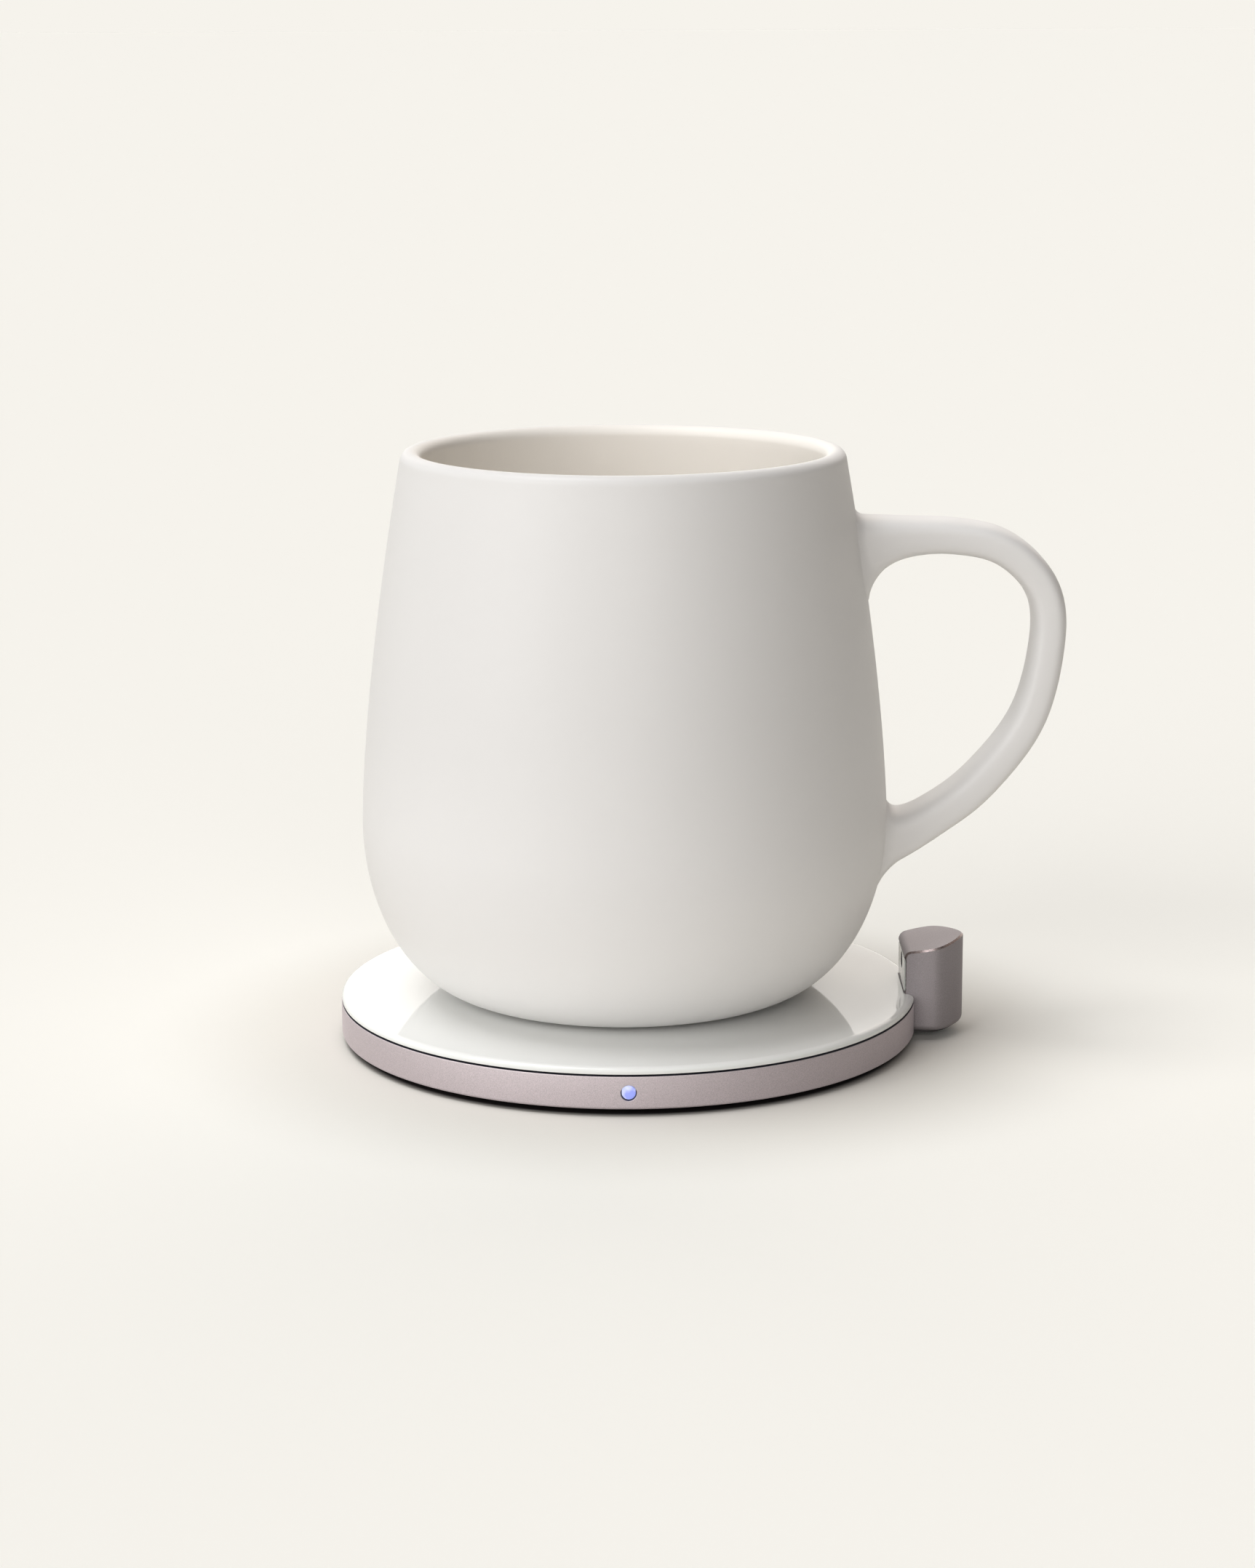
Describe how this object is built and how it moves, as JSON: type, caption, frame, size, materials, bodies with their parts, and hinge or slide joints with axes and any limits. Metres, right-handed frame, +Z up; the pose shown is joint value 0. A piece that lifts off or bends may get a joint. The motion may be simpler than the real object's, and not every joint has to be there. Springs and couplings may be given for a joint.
{
  "type": "self-heating mug",
  "caption": "Ceramic mug with a heated base on a round glass-topped wireless charging pad, whose notched metal ring holds a small sensor tower.",
  "frame": {"origin": "on the table, under the centre of the charging pad", "axes": "+Z up, +X towards the sensor tower and the mug's handle, -Y towards the front, where the status light is"},
  "size_m": [0.1249, 0.1, 0.1022],
  "materials": {
    "ceramic": "satin white glaze",
    "white_glass": "polished, printed white underneath",
    "blasted_aluminium": "fine blasted, anodised rose grey",
    "black_rubber": "matte",
    "grey_silicone": "matte",
    "dark_plastic": "matte",
    "white_plastic": "matte",
    "window_plastic": "gloss",
    "lens_black": "gloss, infrared-clear",
    "lit_plastic": "frosted light pipe",
    "copper": "enamelled wire",
    "ferrite": "sintered",
    "circuit_board": "solder mask",
    "heating_film": "polyimide film",
    "steel": "plain",
    "chip_black": "moulded",
    "capacitor_ceramic": "plain"
  },
  "bodies": {
    "pad": {"foot_pad": "grey_silicone", "bottom_cover": "dark_plastic", "cover_screw_1": "steel", "cover_screw_2": "steel", "cover_screw_3": "steel", "cover_screw_4": "steel", "ring_housing": "blasted_aluminium", "glass_gasket": "black_rubber", "glass_top": "white_glass", "main_board": "circuit_board", "control_chip": "chip_black", "driver_chip": "chip_black", "resonant_capacitor_1": "capacitor_ceramic", "resonant_capacitor_2": "capacitor_ceramic", "resonant_capacitor_3": "capacitor_ceramic", "choke": "ferrite", "coil_carrier": "dark_plastic", "ferrite_plate": "ferrite", "transmit_coil": "copper", "temperature_sensor": "chip_black", "indicator_led": "lit_plastic", "light_pipe": "lit_plastic", "tower_housing": "blasted_aluminium", "sensor_window": "window_plastic", "sensor_lens": "lens_black", "mug_sensor": "chip_black", "tower_board": "circuit_board", "tower_ribbon": "heating_film", "tower_screw_1": "steel", "tower_screw_2": "steel", "usb_shell": "steel", "usb_tongue": "dark_plastic"},
    "mug": {"mug_body": "ceramic", "base_cap": "white_plastic", "base_seal": "grey_silicone", "receiver_coil": "copper", "receiver_shield": "ferrite", "receiver_board": "circuit_board", "insulation_disc": "white_plastic", "heating_film": "heating_film"}
  },
  "joints": [
    {"name": "mug_lift", "type": "slide", "parent": "pad", "child": "mug", "axis": [0, 0, 1], "range_m": [0, 0.12]}
  ]
}
